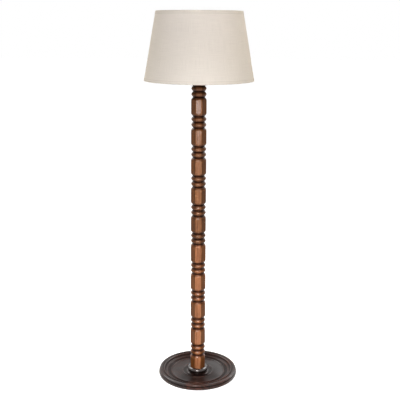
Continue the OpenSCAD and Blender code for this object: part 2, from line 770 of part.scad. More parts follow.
module bulb_glass() {
    neck = bulb_cap_d / 2 - cap_wall - 0.4;
    flare = bulb_r * 0.42;
    shell = concat(
        [[neck, glass_foot_z - 3], [neck + 0.2, glass_foot_z + cut]],
        cubic_path([[flare, glass_foot_z + 4], [flare + 4, glass_foot_z + 16],
                    [bulb_r * 0.86, bulb_centre_z - bulb_r * 0.75],
                    [bulb_r * cos(-20), bulb_centre_z + bulb_r * sin(-20)]], 8),
        arc([0, bulb_centre_z], bulb_r, bulb_r, -10, 88, 12));
    inner = [for (i = [len(shell) - 1:-1:0]) [max(shell[i][0] - glass_t, 0),
             shell[i][1] - (shell[i][1] > bulb_centre_z ? glass_t : 0)]];
    color("#f3f1ea") rotate_extrude()
        polygon(concat(shell, [[0, bulb_crown_z], [0, bulb_crown_z - glass_t]], inner));
}

// The bulb's cap, a cup that is closed by its insulated end
module bulb_cap() {
    r = bulb_cap_d / 2;
    bevel = 1;
    lip_h = 2;
    lip_w = 1.4;
    lip_z = glass_foot_z - lip_h;
    color("#cfc9ba") rotate_extrude() polygon([
        [0, bulb_z], [r - bevel, bulb_z], [r, bulb_z + bevel], [r, lip_z], [r + lip_w, glass_foot_z],
        [r + lip_w - 0.8, glass_foot_z], [r - cap_wall, lip_z], [r - cap_wall, cap_floor_z],
        [0, cap_floor_z]]);
}

module bulb_pins() {
    out = neck_r - bulb_cap_d / 2 - seat_fit;
    color("#cfc9ba") for (side = [0, 180]) rotate([0, 0, 90 + side])
        translate([bulb_cap_d / 2, 0, pin_z]) rotate([0, 90, 0]) cylinder(h = out, d = pin_d);
}

module bulb_contacts() {
    color("#9c9c98") for (side = [-1, 1]) translate([side * plunger_gap / 2, 0, bulb_z - contact_t])
        cylinder(h = contact_t, r = plunger_r);
}

// The glass foot inside the bulb, with the two leads that hold its filament
module bulb_filament() {
    stem_r = 3.4;
    stem_foot_r = 5;
    stem_top = glass_foot_z + 18;
    lead_x = 1.5;
    lead_r = 0.5;
    lead_l = 24;
    lead_z = stem_top - 2;
    lean = 18;
    filament_r = 0.35;
    reach = lead_l * sin(lean) + lead_x;
    lead_top = lead_z + lead_l * cos(lean);
    color("#c8c6c0") {
        rotate_extrude() polygon([[0, cap_floor_z], [stem_foot_r, cap_floor_z], [stem_r, glass_foot_z],
                                  [stem_r, stem_top], [0, stem_top]]);
        for (side = [0, 180]) rotate([0, 0, side]) translate([lead_x, 0, lead_z])
            rotate([0, lean, 0]) cylinder(h = lead_l, r = lead_r);
        translate([-reach, 0, lead_top]) rotate([0, 90, 0]) cylinder(h = 2 * reach, r = filament_r);
    }
}

base_disc();
ballast_plate();
ballast_screws();
base_baize();
cable_bush();
column_lower();
column_upper();
tie_tube();
base_washer();
base_nut();
top_plate();
top_locknut();
holder_dome();
holder_body();
holder_core();
holder_terminals();
contact_plungers();
plunger_springs();
switch_bar();
holder_ring_nut();
carrier_collar();
carrier_arms();
carrier_gallery();
shade_fitting_ring();
shade_arms();
shade_top_wire();
shade_bottom_wire();
shade_lining();
shade_cover();
shade_top_tape();
shade_bottom_tape();
bulb_glass();
bulb_cap();
bulb_pins();
bulb_contacts();
bulb_filament();
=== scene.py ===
"""Looks of the candlestick floor lamp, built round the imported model. Metres, +Z up, the front faces -Y."""

import math

import bpy
from mathutils import Matrix, Vector


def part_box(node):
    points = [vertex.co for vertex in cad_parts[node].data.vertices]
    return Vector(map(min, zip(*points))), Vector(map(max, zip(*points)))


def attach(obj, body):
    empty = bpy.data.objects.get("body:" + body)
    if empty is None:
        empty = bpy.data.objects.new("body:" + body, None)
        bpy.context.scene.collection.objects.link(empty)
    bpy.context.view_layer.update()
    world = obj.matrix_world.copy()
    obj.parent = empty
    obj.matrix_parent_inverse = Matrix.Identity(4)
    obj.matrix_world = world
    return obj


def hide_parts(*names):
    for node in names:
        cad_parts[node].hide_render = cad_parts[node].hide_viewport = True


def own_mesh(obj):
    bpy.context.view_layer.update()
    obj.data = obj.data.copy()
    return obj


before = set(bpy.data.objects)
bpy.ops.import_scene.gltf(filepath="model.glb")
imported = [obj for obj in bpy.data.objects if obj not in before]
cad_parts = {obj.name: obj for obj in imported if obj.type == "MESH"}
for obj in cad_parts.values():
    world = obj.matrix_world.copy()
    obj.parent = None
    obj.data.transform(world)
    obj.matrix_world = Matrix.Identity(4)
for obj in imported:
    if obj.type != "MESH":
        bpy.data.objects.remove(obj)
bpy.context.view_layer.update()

# The photograph's camera: where it stood, how far it looked down and how much it was rolled
CAMERA_PLACE = (0.0066, -2.9525, 1.5419)
CAMERA_DOWN = math.radians(13.90)
CAMERA_ROLL = math.radians(0.30)
CAMERA_LENS = 63.64

# Sizes that the pieces share with the CAD model
FOOT_BLOCK = 0.0610
LOWER_BLOCK = 0.0821
JOINT_BLOCK = 0.0890
UPPER_BLOCK = 0.0797
LOWER_PAIRS = 4
UPPER_PAIRS = 6
RING_PITCH = 0.0235
GROOVE_R = 0.0235
RING_R = 0.0323
RING_POWER = 1.35
SHOULDER_H = 0.018
SHOULDER_POWER = 1.3
TENON_R = 0.015
RIM_H = 0.026
FIELD_H = 0.010
CREST_R = 0.119
COLLAR_BEAD_R = 0.068
BUN_R = 0.046
SMALL_BEAD_R = 0.003
SHADE_TOP_R = 0.178
COVER_T = 0.0009
LINING_T = 0.0005
TAPE_W = 0.013
TAPE_IN_W = 0.008
TAPE_T = 0.0006

# Places that follow from the frame
FOOT_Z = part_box("base_disc")[1].z
JOINT_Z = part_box("column_lower")[1].z
COLUMN_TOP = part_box("column_upper")[1].z
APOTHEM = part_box("column_lower")[1].y
CORNER_R = APOTHEM / math.cos(math.pi / 8)
BLANK_R = CORNER_R + 0.001
BASE_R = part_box("base_disc")[1].x
BAIZE_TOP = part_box("base_baize")[1].z
SHADE_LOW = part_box("shade_bottom_tape")[0].z
SHADE_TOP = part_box("shade_top_tape")[1].z
SHADE_LOW_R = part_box("shade_bottom_tape")[1].x

# Mouldings of the base's rim, by radius
EDGE_R = BASE_R - 0.008
NECK_R = BASE_R - 0.005
TOP_BEAD_R = BASE_R - 0.024
COVE_R = BASE_R - 0.036


# ---------------------------------------------------------------- meshes

def mesh_object(name, vertices, faces, smooth_angle=35):
    """A mesh piece whose sharp edges stay crisp."""
    mesh = bpy.data.meshes.new(name)
    mesh.from_pydata(vertices, [], faces)
    mesh.validate()
    piece = bpy.data.objects.new(name, mesh)
    bpy.context.scene.collection.objects.link(piece)
    mesh.shade_smooth()
    mesh.set_sharp_from_angle(angle=math.radians(smooth_angle))
    return piece


def revolve(name, outline, radius_at=None, steps=192, smooth_angle=35):
    """Turns a closed outline of (radius, height) points about the Z axis. radius_at may change each
    radius."""
    vertices, rows = [], []
    for r, z in outline:
        if r < 1e-7:
            rows.append([len(vertices)] * steps)
            vertices.append((0.0, 0.0, z))
            continue
        rows.append(list(range(len(vertices), len(vertices) + steps)))
        for i in range(steps):
            a = 2 * math.pi * i / steps
            radius = radius_at(r, z, a) if radius_at else r
            vertices.append((radius * math.cos(a), radius * math.sin(a), z))
    faces = []
    for low, high in zip(rows, rows[1:] + rows[:1]):
        for i in range(steps):
            k = (i + 1) % steps
            corners = [low[i], low[k], high[k], high[i]]
            face = [c for n, c in enumerate(corners) if c not in corners[:n]]
            if len(face) > 2:
                faces.append(face)
    return mesh_object(name, vertices, faces, smooth_angle)


def arc(centre, a, b, start, end, steps):
    """Points on part of an ellipse, in degrees, ends included."""
    points = []
    for i in range(steps + 1):
        t = math.radians(start + (end - start) * i / steps)
        points.append((centre[0] + a * math.cos(t), centre[1] + b * math.sin(t)))
    return points


def cubic(p, steps):
    """Points on a cubic curve through four control points, each a tuple of any length."""
    points = []
    for i in range(steps + 1):
        t = i / steps
        weights = ((1 - t) ** 3, 3 * t * (1 - t) ** 2, 3 * t * t * (1 - t), t ** 3)
        points.append(tuple(sum(w * q[k] for w, q in zip(weights, p)) for k in range(len(p[0]))))
    return points


# ---------------------------------------------------------------- column

def swell(s, power):
    """A bulge that is 1 in the middle and falls to 0 at s = 1 and -1."""
    return max(0.0, 1 - abs(s) ** power) ** (1 / power)


def pair_outline(z, steps=14):
    """Two turned rings round height z, from groove to groove."""
    points = []
    for middle in (z - RING_PITCH / 2, z + RING_PITCH / 2):
        for i in range(2 * steps + 1):
            s = i / steps - 1
            r = GROOVE_R + (RING_R - GROOVE_R) * swell(s, RING_POWER)
            points.append((r, middle + s * RING_PITCH / 2))
    return points


def shoulder_outline(z, up, steps=14):
    """A block's turned shoulder: it leaves the groove at z and clears the octagon's corners."""
    points = []
    for i in range(steps + 1):
        s = math.cos(math.pi / 2 * i / steps)
        r = GROOVE_R + (BLANK_R - GROOVE_R) * swell(s, SHOULDER_POWER)
        points.append((r, z + (1 - s) * SHOULDER_H * (1 if up else -1)))
    return points if up else points[::-1]


def block_outline(z, length):
    return shoulder_outline(z, True) + shoulder_outline(z + length, False)


def soft_min(a, b, round_by):
    """The smaller of two radii, with the arris between them rounded."""
    h = max(round_by - abs(a - b), 0.0) / round_by
    return min(a, b) - h * h * round_by / 4


def octagonal(r, z, angle):
    """Cuts a turned radius to the octagon whose flats face the front, back and sides. Its corners are
    worn unevenly."""
    flat = math.pi / 4
    corner_off, shoulder_arris = 0.0004, 0.0012
    off = (angle + flat / 2) % flat - flat / 2
    groove_shade_and_wear = 0.0009 + 0.0005 * math.sin(41 * z + 3 * angle)
    octagon = soft_min(APOTHEM / math.cos(off), CORNER_R - corner_off, groove_shade_and_wear)
    return soft_min(r, octagon, shoulder_arris)


def column_piece(name, outline, node):
    piece = revolve(name, outline, octagonal, steps=128, smooth_angle=50)
    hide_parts(node)
    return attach(piece, "stand")


def make_lower_column():
    tenon_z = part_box("column_lower")[0].z
    outline = [(0, tenon_z), (TENON_R, tenon_z), (TENON_R, FOOT_Z), (BLANK_R, FOOT_Z)]
    outline += shoulder_outline(FOOT_Z + FOOT_BLOCK, False)
    z = FOOT_Z + FOOT_BLOCK + RING_PITCH
    for i in range(LOWER_PAIRS):
        length = LOWER_BLOCK if i < LOWER_PAIRS - 1 else JOINT_BLOCK
        outline += pair_outline(z) + block_outline(z + RING_PITCH, length)
        z += LOWER_BLOCK + 2 * RING_PITCH
    outline += [(0, JOINT_Z)]
    return column_piece("turned_column_lower", outline, "column_lower")


def make_upper_column():
    tenon_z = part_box("column_upper")[0].z
    outline = [(0, tenon_z), (TENON_R, tenon_z), (TENON_R, JOINT_Z)]
    z = JOINT_Z + RING_PITCH
    for i in range(UPPER_PAIRS):
        outline += pair_outline(z)
        if i < UPPER_PAIRS - 1:
            outline += block_outline(z + RING_PITCH, UPPER_BLOCK)
            z += UPPER_BLOCK + 2 * RING_PITCH
    undercut, low_round, top_round = 0.001, 0.0015, 0.001
    cap_z = z + RING_PITCH + undercut
    outline += [(RING_R - low_round - undercut, cap_z)]
    outline += arc((RING_R - low_round, cap_z + low_round), low_round, low_round, -40, 0, 4)
    outline += arc((RING_R - top_round, COLUMN_TOP - top_round), top_round, top_round, 0, 90, 4)
    outline += [(0, COLUMN_TOP)]
    return column_piece("turned_column_upper", outline, "column_upper")


# ---------------------------------------------------------------- base

def rim_outline():
    """The base in section, from the middle of its underside round the rim to the foot of its cove. The
    side's arc ends at 30 degrees, at half its height."""
    foot_w, foot_h = 0.008, 0.007
    foot = (BASE_R - foot_w, BAIZE_TOP + foot_h)
    side_top, neck_low, neck_high = RIM_H - 0.0095, RIM_H - 0.0086, RIM_H - 0.0072
    edge, step, top_bead = 0.005, 0.002, SMALL_BEAD_R + 0.0005
    bead_z = RIM_H - 0.004
    points = [(0, BAIZE_TOP)]
    points += arc(foot, foot_w, foot_h, -90, 0, 10)
    points += arc(foot, foot_w, 2 * (side_top - foot[1]), 6, 30, 5)
    points += [(NECK_R, neck_low), (NECK_R, neck_high)]
    points += arc((EDGE_R, RIM_H - edge), edge, edge, -30, 90, 12)
    points += arc((BASE_R - 0.015, RIM_H - step), step, step, 90, 180, 5)
    points += arc((TOP_BEAD_R, bead_z), top_bead, top_bead, 10, 180, 14)
    points += arc((COVE_R, bead_z), 0.0085, RIM_H - FIELD_H - 0.0095, 0, -80, 10)
    return points


def dish_outline():
    """The dish in section, from the bead under the cove over the crest to the foot of the bun."""
    bead = SMALL_BEAD_R
    valley_d, field_d, gap_d = 0.0012, 0.0016, 0.001
    field_mid, field_half = (CREST_R + COLLAR_BEAD_R) / 2, (CREST_R - COLLAR_BEAD_R) / 2
    gap_mid, gap_half = (COLLAR_BEAD_R + BUN_R) / 2, (COLLAR_BEAD_R - BUN_R) / 2
    points = arc((COVE_R - 0.003, FIELD_H + 0.0025), bead, bead, 60, 170, 9)
    points += arc((CREST_R + 0.009, FIELD_H + valley_d), 0.0035, valley_d, 0, -180, 8)
    points += arc((CREST_R, FIELD_H + 0.0006), bead, bead, 10, 170, 12)
    points += [(CREST_R - 0.0032, FIELD_H + field_d)]
    points += arc((field_mid, FIELD_H + field_d), field_half - 0.006, field_d, -10, -170, 14)
    points += [(COLLAR_BEAD_R + 0.0034, FIELD_H + 0.0012)]
    points += arc((COLLAR_BEAD_R, FIELD_H + 0.0004), bead, bead, 15, 165, 12)
    points += arc((gap_mid - 0.001, FIELD_H + gap_d), gap_half - 0.003, gap_d, 0, -180, 8)
    return points


def bun_outline():
    """The bun in section, from the gap round it to the middle of its top."""
    round_w = 0.007
    waist_z = FIELD_H + 0.001
    middle = (BUN_R - round_w, (FOOT_Z + waist_z) / 2 - 0.0005)
    points = arc(middle, round_w, (FOOT_Z - waist_z) / 2 - 0.0007, -80, 78, 20)
    return points + [(BUN_R - 0.008, FOOT_Z), (0, FOOT_Z)]


def make_base():
    outline = rim_outline() + dish_outline() + bun_outline()
    piece = revolve("turned_base", outline, steps=256)
    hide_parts("base_disc")
    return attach(piece, "stand")


def make_baize():
    """The disc of baize glued under the base, its cut edge a little soft."""
    low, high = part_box("base_baize")
    edge = 0.0005
    outline = [(0, low.z), (high.x - edge, low.z)]
    outline += arc((high.x - edge, high.z - edge), edge, edge, 0, 90, 4) + [(0, high.z)]
    piece = revolve("baize_disc", outline, steps=144)
    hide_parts("base_baize")
    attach(piece, "stand")
    return piece


# ---------------------------------------------------------------- shade

def shade_r(z, depth=0.0):
    """Radius of the shade's outside at a height, less a depth into its wall."""
    share = (z - SHADE_LOW) / (SHADE_TOP - SHADE_LOW)
    return SHADE_LOW_R + (SHADE_TOP_R - SHADE_LOW_R) * share - depth


def shade_skin(name, outside, inside, node, lap=0.0):
    """A thin cone between the rims. lap is how far the cover's lapped seam stands out at the back."""
    low, high = SHADE_LOW + TAPE_T, SHADE_TOP - TAPE_T
    rows = 24
    heights = [low + (high - low) * i / rows for i in range(rows + 1)]
    outline = [(shade_r(z, outside), z) for z in heights]
    outline += [(shade_r(z, inside), z) for z in reversed(heights)]
    lap_half, cut_edge, pressed_edge, past_lap = 0.006, 0.0004, 0.0012, 0.02

    def seam(r, z, a):
        along = (a - math.pi / 2) * SHADE_TOP_R
        on_lap = 1 / (1 + math.exp(-(along + lap_half) / cut_edge)) if along < past_lap else 0.0
        on_lap *= 1 / (1 + math.exp((along - lap_half) / pressed_edge))
        wave = 0.00025 * math.sin(5 * a + 2) + 0.00015 * math.sin(11 * a + 40 * z)
        return r + lap * on_lap * (r > shade_r(z, (outside + inside) / 2)) + (wave if lap else 0)

    piece = revolve(name, outline, seam, steps=720)
    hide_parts(node)
    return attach(piece, "shade")


def folded_tape(name, edge, way, node):
    """Cloth tape folded over a rim: its outside, the turn over the wire and its inside. way is 1 at the
    top rim and -1 at the bottom one."""
    wire_d, play, turn_h = 0.0034, 0.0004, 0.0022
    depth = 2 * TAPE_T + COVER_T + LINING_T + wire_d + play
    turn = depth / 2
    outer, inner = edge - way * TAPE_W, edge - way * TAPE_IN_W
    bend = edge - way * turn_h

    def turned(radius, height, start, end):
        return [(shade_r(edge, turn) + r, bend + way * (z - bend))
                for r, z in arc((0, bend), radius, height, start, end, 10)]

    points = [(shade_r(outer, TAPE_T), outer), (shade_r(outer), outer)]
    points += turned(turn, turn_h, 0, 180)
    points += [(shade_r(inner, depth), inner), (shade_r(inner, depth - TAPE_T), inner)]
    points += turned(turn - TAPE_T, turn_h - TAPE_T, 180, 0)
    if way < 0:
        points.reverse()

    def rumpled(r, z, a):
        return r + 0.00012 * math.sin(63 * a + 300 * z) + 0.0001 * math.sin(17 * a)

    piece = revolve(name, points, rumpled, steps=360, smooth_angle=60)
    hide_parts(node)
    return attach(piece, "shade")


# ---------------------------------------------------------------- wires and springs

def torus(name, node, body):
    """A smooth wire ring that stands for the CAD node of the same size."""
    low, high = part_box(node)
    wire_r = (high.z - low.z) / 2
    middle = (high.x - wire_r, (high.z + low.z) / 2)
    piece = revolve(name, arc(middle, wire_r, wire_r, 0, 345, 23), steps=192)
    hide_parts(node)
    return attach(piece, body)


def tube_faces(first, rings, sides):
    """Faces of a tube whose rings of vertices follow each other from the vertex first, with both ends
    closed."""
    faces = []
    for i in range(rings - 1):
        p = first + i * sides
        for j in range(sides):
            k = (j + 1) % sides
            faces.append((p + j, p + sides + j, p + sides + k, p + k))
    faces.append([first + j for j in range(sides)])
    faces.append([first + (rings - 1) * sides + j for j in reversed(range(sides))])
    return faces


def wires(name, node, body, path, radius, count, turn):
    """Round wires along a path of (radius, height) points, set round the axis."""
    steps, sides = len(path), 16
    vertices, faces = [], []
    for c in range(count):
        spin = Matrix.Rotation(math.radians(turn + 360 * c / count), 3, "Z")
        faces += tube_faces(len(vertices), steps, sides)
        for i, (r, z) in enumerate(path):
            before, after = path[max(i - 1, 0)], path[min(i + 1, steps - 1)]
            along = Vector((after[0] - before[0], after[1] - before[1])).normalized()
            for j in range(sides):
                a = 2 * math.pi * j / sides
                offset = radius * math.cos(a)
                place = (r - offset * along.y, radius * math.sin(a), z + offset * along.x)
                vertices.append(spin @ Vector(place))
    piece = mesh_object(name, vertices, faces, 50)
    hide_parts(node)
    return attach(piece, body)


def make_springs(steel):
    """The two coil springs under the plungers, at one length; on the lamp they shorten as the bulb is pushed
    in.
    """
    low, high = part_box("plunger_springs")
    wire_r, turns, steps, sides = 0.0003, 5, 24, 10
    rings = turns * steps + 1
    coil_r = (high.y - low.y) / 2 - wire_r
    rise = high.z - low.z - 2 * wire_r
    vertices, faces = [], []
    for side in (low.x + coil_r + wire_r, high.x - coil_r - wire_r):
        faces += tube_faces(len(vertices), rings, sides)
        for i in range(rings):
            a = 2 * math.pi * i / steps
            out = Vector((math.cos(a), math.sin(a), 0))
            middle = Vector((side, 0, low.z + wire_r + rise * i / (turns * steps))) + coil_r * out
            for j in range(sides):
                b = 2 * math.pi * j / sides
                vertices.append(middle + wire_r * (math.cos(b) * out + Vector((0, 0, math.sin(b)))))
    piece = dress(mesh_object("spring_coils", vertices, faces, 60), steel)
    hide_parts("plunger_springs")
    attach(piece, "stand")
    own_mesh(piece)


# ---------------------------------------------------------------- materials

def srgb(r, g, b):
    """A colour as a screen shows it, 0 to 255, as linear light."""
    def linear(c):
        c /= 255
        return c / 12.92 if c <= 0.04045 else ((c + 0.055) / 1.055) ** 2.4
    return (linear(r), linear(g), linear(b), 1.0)


def dimmed(tone, level):
    """A colour made darker, or lighter up to white."""
    return tuple(min(1.0, c * level) for c in tone[:3]) + (1,)


class Look:
    """A procedural material and short ways to add nodes to it."""

    def __init__(self, name):
        self.material = bpy.data.materials.new(name)
        self.material.use_nodes = True
        self.tree = self.material.node_tree
        self.shader = next(n for n in self.tree.nodes if n.type == "BSDF_PRINCIPLED")
        self.coordinates = self.node("ShaderNodeTexCoord")
        self.place = self.coordinates.outputs["Object"]

    def node(self, kind, **settings):
        made = self.tree.nodes.new(kind)
        for key, value in settings.items():
            setattr(made, key, value)
        return made

    def feed(self, socket, value):
        if isinstance(value, bpy.types.NodeSocket):
            self.tree.links.new(value, socket)
        else:
            socket.default_value = value

    def set(self, **inputs):
        for key, value in inputs.items():
            self.feed(self.shader.inputs[key.replace("_", " ")], value)

    def stretch(self, scale, shift=(0, 0, 0), turn=(0, 0, 0), of=None):
        """Coordinates scaled, turned and shifted: the object's, or others given by of."""
        made = self.node("ShaderNodeMapping")
        made.inputs["Scale"].default_value = scale
        made.inputs["Location"].default_value = shift
        made.inputs["Rotation"].default_value = turn
        self.feed(made.inputs["Vector"], self.place if of is None else of)
        return made.outputs["Vector"]

    def noise(self, vector, scale=1.0, detail=4.0, rough=0.55, warp=0.0):
        made = self.node("ShaderNodeTexNoise")
        self.feed(made.inputs["Vector"], vector)
        values = {"Scale": scale, "Detail": detail, "Roughness": rough, "Distortion": warp}
        for key, value in values.items():
            made.inputs[key].default_value = value
        return made.outputs["Fac"]

    def ramp(self, value, *stops):
        """Maps 0..1 to greys or colours at the given stops."""
        made = self.node("ShaderNodeValToRGB")
        self.feed(made.inputs["Fac"], value)
        elements = made.color_ramp.elements
        while len(elements) < len(stops):
            elements.new(0.5)
        for element, (at, colour) in zip(elements, stops):
            element.position = at
            element.color = colour if hasattr(colour, "__len__") else (colour, colour, colour, 1)
        return made.outputs["Color"]

    def calc(self, operation, a, b=0.0, c=0.0):
        made = self.node("ShaderNodeMath", operation=operation)
        for socket, value in zip(made.inputs, (a, b, c)):
            self.feed(socket, value)
        return made.outputs[0]

    def mix(self, factor, a, b, blend="MIX"):
        made = self.node("ShaderNodeMix", data_type="RGBA", blend_type=blend)
        self.feed(made.inputs[0], factor)
        self.feed(made.inputs[6], a)
        self.feed(made.inputs[7], b)
        return made.outputs[2]

    def axes(self):
        """The object's X, Y and Z, each by itself."""
        made = self.node("ShaderNodeSeparateXYZ")
        self.feed(made.inputs[0], self.place)
        return made.outputs["X"], made.outputs["Y"], made.outputs["Z"]

    def radius(self):
        """Distance from the lamp's axis."""
        made = self.node("ShaderNodeVectorMath", operation="LENGTH")
        self.feed(made.inputs[0], self.stretch((1, 1, 0)))
        return made.outputs["Value"]

    def angle(self):
        """Turn about the lamp's axis, in radians."""
        x, y, _ = self.axes()
        return self.calc("ARCTAN2", y, x)

    def upright(self):
        """How much the surface faces up or down, 0 to 1."""
        normals = self.node("ShaderNodeSeparateXYZ")
        self.feed(normals.inputs[0], self.coordinates.outputs["Normal"])
        return self.calc("ABSOLUTE", normals.outputs["Z"])

    def bump(self, height, distance, strength=1.0, over=None):
        made = self.node("ShaderNodeBump")
        made.inputs["Strength"].default_value = strength
        made.inputs["Distance"].default_value = distance
        self.feed(made.inputs["Height"], height)
        if over is not None:
            self.feed(made.inputs["Normal"], over)
        return made.outputs["Normal"]


def oak(look, lengthways, tones, pore, ring_turn):
    """Grain colour and bump of oak. lengthways is the grain's axis, 0 for X or 2 for Z."""
    def along(across, length):
        scale = [across] * 3
        scale[lengthways] = length
        return look.stretch(scale)

    rings = look.node("ShaderNodeTexWave", wave_type="RINGS", rings_direction="XYZ"[lengthways])
    board = (1, 1, 1) if lengthways == 0 else (1, 1, 0.12)
    look.feed(rings.inputs["Vector"], look.stretch(board, (0.03, 0.055, 0.012), ring_turn))
    for key, value in (("Scale", 55.0), ("Distortion", 9.0), ("Detail", 4.0), ("Detail Scale", 0.6)):
        rings.inputs[key].default_value = value
    broad = look.noise(along(18, 2.2), 1.0, 3.0)
    streak = look.noise(along(300, 9), 1.0, 5.0, 0.7, 0.3)
    pores = look.ramp(look.noise(along(1500, 70), 1.0, 2.0, 0.5), (0.60, 0.0), (0.68, 1.0))
    grain = look.calc("MULTIPLY_ADD", rings.outputs["Fac"], 0.15, look.calc("MULTIPLY", streak, 0.68))
    grain = look.calc("MULTIPLY_ADD", broad, 0.45, grain)
    tone = look.ramp(grain, (0.36, tones[0]), (0.58, tones[1]), (0.82, tones[2]))
    colour = look.mix(look.calc("MULTIPLY", pores, 0.55), tone, pore)
    height = look.calc("SUBTRACT", look.calc("MULTIPLY", streak, 0.35), look.calc("MULTIPLY", pores, 0.65))
    return colour, height, streak


def column_look(name, tones):
    """Satin brown oak. It is darker towards the grooves, from staining and painted shade, darker where
    the surface faces up or down, and darker on the four corner facets, which is painted shade; there the
    wood also shines less."""
    look = Look(name)
    colour, height, streak = oak(look, 2, tones, srgb(40, 20, 9), (0, 0, 0.4))
    out = look.calc("DIVIDE", look.calc("SUBTRACT", look.radius(), GROOVE_R), CORNER_R - GROOVE_R)
    # Darker towards the grooves: staining and painted shade; the arrises are lighter where rubbed.
    groove_shade_and_wear = look.ramp(out, (0.0, srgb(60, 34, 14)), (0.3, srgb(150, 122, 98)),
                     (0.66, 1.0), (0.9, 1.0), (1.0, 1.12))
    corner = look.calc("COSINE", look.calc("MULTIPLY", look.angle(), 4.0))
    corner = look.calc("MULTIPLY_ADD", corner, -0.5, 0.5)
    # Painted shade: the four corner facets are made darker than the front, back and side facets.
    corner_painted_shade = look.ramp(corner, (0.38, 1.0), (0.62, srgb(160, 147, 103)))
    # Darker where the surface faces up or down.
    up_down_darkening = look.ramp(look.upright(), (0.15, 1.0), (0.8, srgb(206, 196, 186)))
    for stain_and_painted_shade in (groove_shade_and_wear, corner_painted_shade, up_down_darkening):
        colour = look.mix(1.0, colour, stain_and_painted_shade, "MULTIPLY")
    look.set(Base_Color=colour, IOR=1.5, Specular_IOR_Level=0.3, Specular_Tint=(1.0, 0.6, 0.42, 1),
             Coat_Weight=look.ramp(corner, (0.38, 0.36), (0.62, 0.04)), Coat_Roughness=0.2,
             Roughness=look.ramp(streak, (0.3, 0.36), (0.7, 0.5)),
             Normal=look.bump(height, 0.00025, 0.6))
    return look.material


def base_look():
    """Dark polished oak: nearly black in the turned lines and round the bun, from staining and painted
    shade, with a painted shade line under the edge bead, and rubbed to the red of the wood on the beads.
    Its polish is patchy, and dull in the front of the dish."""
    look = Look("base_oak")
    tones = (srgb(10, 5, 4), srgb(20, 11, 8), srgb(54, 28, 21))
    colour, height, streak = oak(look, 0, tones, srgb(14, 8, 6), (0, 0.35, 0))
    patch = look.noise(look.stretch((11, 11, 11), (2.1, 1.9, 0.5)), 1.0, 3.0)
    colour = look.mix(1.0, colour, look.ramp(patch, (0.42, 0.4), (0.60, 2.9)), "MULTIPLY")
    out = look.calc("DIVIDE", look.radius(), BASE_R)
    _, y, z = look.axes()

    def by_radius(*stops):
        return look.ramp(out, *[(at / BASE_R, level) for at, level in stops])

    # Painted shade with the staining: darker in the turned lines, in the gap round the bun and in the valley
    # outside the crest; the beads are lighter where rubbed.
    stain_and_painted_shade = by_radius(
        (BUN_R - 0.004, 0.5), (BUN_R + 0.004, 0.15),
        (COLLAR_BEAD_R - 0.004, 0.2), (COLLAR_BEAD_R, 1.4), (COLLAR_BEAD_R + 0.005, 0.4),
        (CREST_R - 0.010, 0.4), (CREST_R - 0.004, 0.3), (CREST_R, 1.1), (CREST_R + 0.004, 0.12),
        (CREST_R + 0.013, 0.12), (COVE_R - 0.002, 1.0), (COVE_R + 0.004, 0.35),
        (TOP_BEAD_R, 1.0), (TOP_BEAD_R + 0.006, 0.15), (EDGE_R - 0.004, 0.75), (BASE_R - 0.001, 0.65))
    polish = by_radius(
        (BUN_R, 1.0), (BUN_R + 0.004, 0.12),
        (COLLAR_BEAD_R - 0.004, 0.15), (COLLAR_BEAD_R, 0.5), (COLLAR_BEAD_R + 0.005, 0.25),
        (CREST_R - 0.023, 0.55), (CREST_R - 0.010, 0.7), (CREST_R, 0.7), (CREST_R + 0.004, 0.1),
        (CREST_R + 0.013, 0.12), (COVE_R - 0.002, 0.6), (COVE_R + 0.005, 0.2),
        (TOP_BEAD_R, 0.6), (TOP_BEAD_R + 0.006, 0.15), (EDGE_R - 0.004, 0.5), (NECK_R, 0.75),
        (BASE_R - 0.002, 0.35))
    in_dish = by_radius((BUN_R, 0.0), (BUN_R + 0.004, 1.0),
                        (TOP_BEAD_R + 0.006, 1.0), (TOP_BEAD_R + 0.010, 0.0))
    depth = look.calc("MULTIPLY_ADD", y, 0.5 / BASE_R, look.calc("MULTIPLY_ADD", patch, 0.3, 0.35))
    dull = look.calc("MULTIPLY", in_dish, look.ramp(depth, (0.28, 0.9), (0.42, 0.0)))
    # Painted shade: a dark line in the neck under the edge bead, whose polish is dulled there too.
    neck_painted_shade = look.calc("COMPARE", z, RIM_H - 0.008, 0.0014)
    dull = look.calc("MAXIMUM", dull, look.calc("MULTIPLY", neck_painted_shade, 0.8))
    stain_and_painted_shade = look.mix(neck_painted_shade, stain_and_painted_shade, srgb(120, 120, 120), "MULTIPLY")
    coat = look.calc("MULTIPLY", polish, look.ramp(patch, (0.44, 1.0), (0.58, 0.4)))
    coat = look.calc("MULTIPLY", coat, look.calc("SUBTRACT", 1.0, dull))
    look.set(Base_Color=look.mix(1.0, colour, stain_and_painted_shade, "MULTIPLY"),
             IOR=1.5, Specular_IOR_Level=0.2, Specular_Tint=(1.0, 0.6, 0.5, 1),
             Coat_Weight=coat, Coat_Roughness=0.12, Coat_IOR=1.7,
             Roughness=look.ramp(streak, (0.3, 0.28), (0.7, 0.4)),
             Normal=look.bump(height, 0.0002, 0.5))
    return look.material


